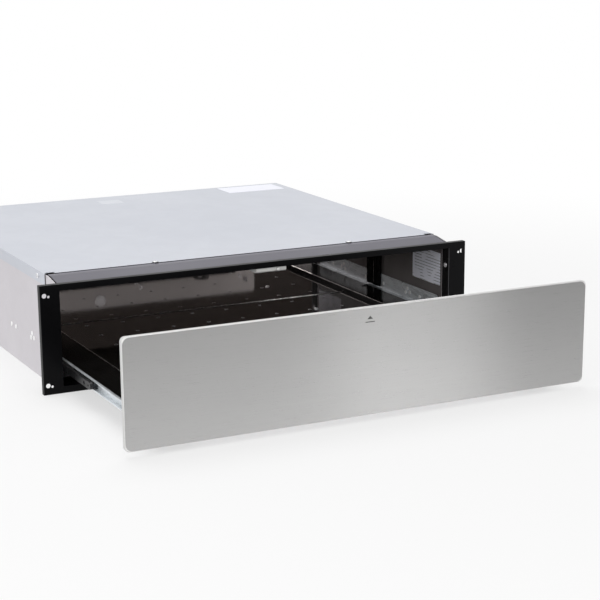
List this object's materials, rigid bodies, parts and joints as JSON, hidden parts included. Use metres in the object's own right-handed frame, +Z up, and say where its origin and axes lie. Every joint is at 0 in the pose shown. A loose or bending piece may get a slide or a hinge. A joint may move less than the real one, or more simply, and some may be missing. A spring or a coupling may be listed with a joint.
{
  "type": "built-in warming drawer",
  "caption": "Low built-in heated drawer: steel front, shallow black tray on telescopic runners, sheet-metal casing with a flanged front frame.",
  "frame": {"origin": "centre of the front frame's four fixing holes, on the frame's front face", "axes": "+X to the right seen from the front, +Y into the cabinet, +Z up; -Y is the way the drawer opens"},
  "size_m": [0.595, 0.8165, 0.1405],
  "materials": {
    "frame_black": "semi-gloss",
    "galvanised": "satin",
    "cover_sheet": "satin",
    "grey_sheet": "satin",
    "zinc": "satin",
    "dark_steel": "satin",
    "front_steel": "brushed",
    "lining": "gloss",
    "black_enamel": "gloss",
    "bright_trim": "bright",
    "reflector": "bright",
    "element_sheath": "satin",
    "screw_steel": "bright",
    "mineral_wool": "fibrous",
    "core_board": "pressed",
    "white_plastic": "satin",
    "black_plastic": "satin",
    "white_label": "paper",
    "mark_ink": "printed",
    "terminal_brass": "satin",
    "rubber_black": "matt",
    "rubber_grey": "matt",
    "lamp_lens": "clear"
  },
  "bodies": {
    "cabinet": {"front_frame": "frame_black", "frame_screws": "screw_steel", "base_pan": "galvanised", "right_side_panel": "galvanised", "left_side_panel": "galvanised", "rear_panel": "galvanised", "rear_brackets": "galvanised", "casing_screws": "screw_steel", "top_cover": "cover_sheet", "cover_screws": "screw_steel", "cover_labels": "white_label", "front_top_rail": "grey_sheet", "cavity_ceiling": "lining", "top_wool": "mineral_wool", "side_liners": "lining", "side_label": "white_label", "runner_rails": "zinc", "cabinet_channels": "zinc", "rail_rivets": "zinc", "latch_body": "white_plastic", "latch_spring": "screw_steel", "cord_gland": "black_plastic", "terminal_block": "white_plastic", "terminal_screws": "terminal_brass", "earth_stud": "terminal_brass", "drawer_lead": "rubber_black"},
    "drawer": {"drawer_channels": "zinc", "lead_clip": "black_plastic", "front_panel": "front_steel", "panel_core": "core_board", "panel_backing": "grey_sheet", "striker_plate": "screw_steel", "panel_screws": "screw_steel", "panel_bumpers": "rubber_grey", "push_mark": "mark_ink", "tray_pan": "black_enamel", "floor_rail": "black_enamel", "tray_back_wall": "black_enamel", "tray_screws": "screw_steel", "floor_plate": "black_enamel", "floor_post": "zinc", "floor_trims": "bright_trim", "under_pan": "galvanised", "tray_wool": "mineral_wool", "heat_reflector": "reflector", "heating_element": "element_sheath", "element_clips": "zinc", "fan_housing": "galvanised", "fan_motor": "dark_steel", "thermal_cutout": "black_plastic", "control_box": "black_enamel", "thermostat": "zinc", "switch_body": "black_plastic", "indicator_lamp": "lamp_lens"},
    "left_runner": {"left_runner_middle": "dark_steel"},
    "right_runner": {"right_runner_middle": "dark_steel"},
    "latch_pin": {"latch_plunger": "white_plastic"},
    "knob": {"thermostat_knob": "black_plastic"},
    "rocker": {"power_switch": "black_plastic"},
    "blower_wheel": {"fan_rotor": "zinc"}
  },
  "joints": [
    {"name": "drawer_slide", "type": "slide", "parent": "cabinet", "child": "drawer", "axis": [0, -1, 0], "range_m": [-0.2664, 0.1136], "deforming": ["drawer_lead"]},
    {"name": "left_runner_slide", "type": "slide", "parent": "cabinet", "child": "left_runner", "axis": [0, -1, 0], "range_m": [-0.1332, 0.0568]},
    {"name": "right_runner_slide", "type": "slide", "parent": "cabinet", "child": "right_runner", "axis": [0, -1, 0], "range_m": [-0.1332, 0.0568]},
    {"name": "latch_press", "type": "slide", "parent": "cabinet", "child": "latch_pin", "axis": [0, 1, 0], "range_m": [0, 0.003], "stiffness_N_per_m": 150, "deforming": ["latch_spring"]},
    {"name": "thermostat_turn", "type": "hinge", "parent": "drawer", "child": "knob", "pos_m": [0.19, -0.2478, 0.023], "axis": [0, 0, -1], "range_deg": [0, 270]},
    {"name": "switch_rock", "type": "hinge", "parent": "drawer", "child": "rocker", "pos_m": [0.15, -0.2478, 0.0145], "axis": [0, 1, 0], "range_deg": [0, 16]},
    {"name": "blower_spin", "type": "hinge", "parent": "drawer", "child": "blower_wheel", "pos_m": [0, 0.2308, 0.013], "axis": [1, 0, 0], "continuous": true}
  ],
  "couplings": [
    {"joint": "left_runner_slide", "follows": "drawer_slide", "ratio": 0.5},
    {"joint": "right_runner_slide", "follows": "drawer_slide", "ratio": 0.5}
  ]
}
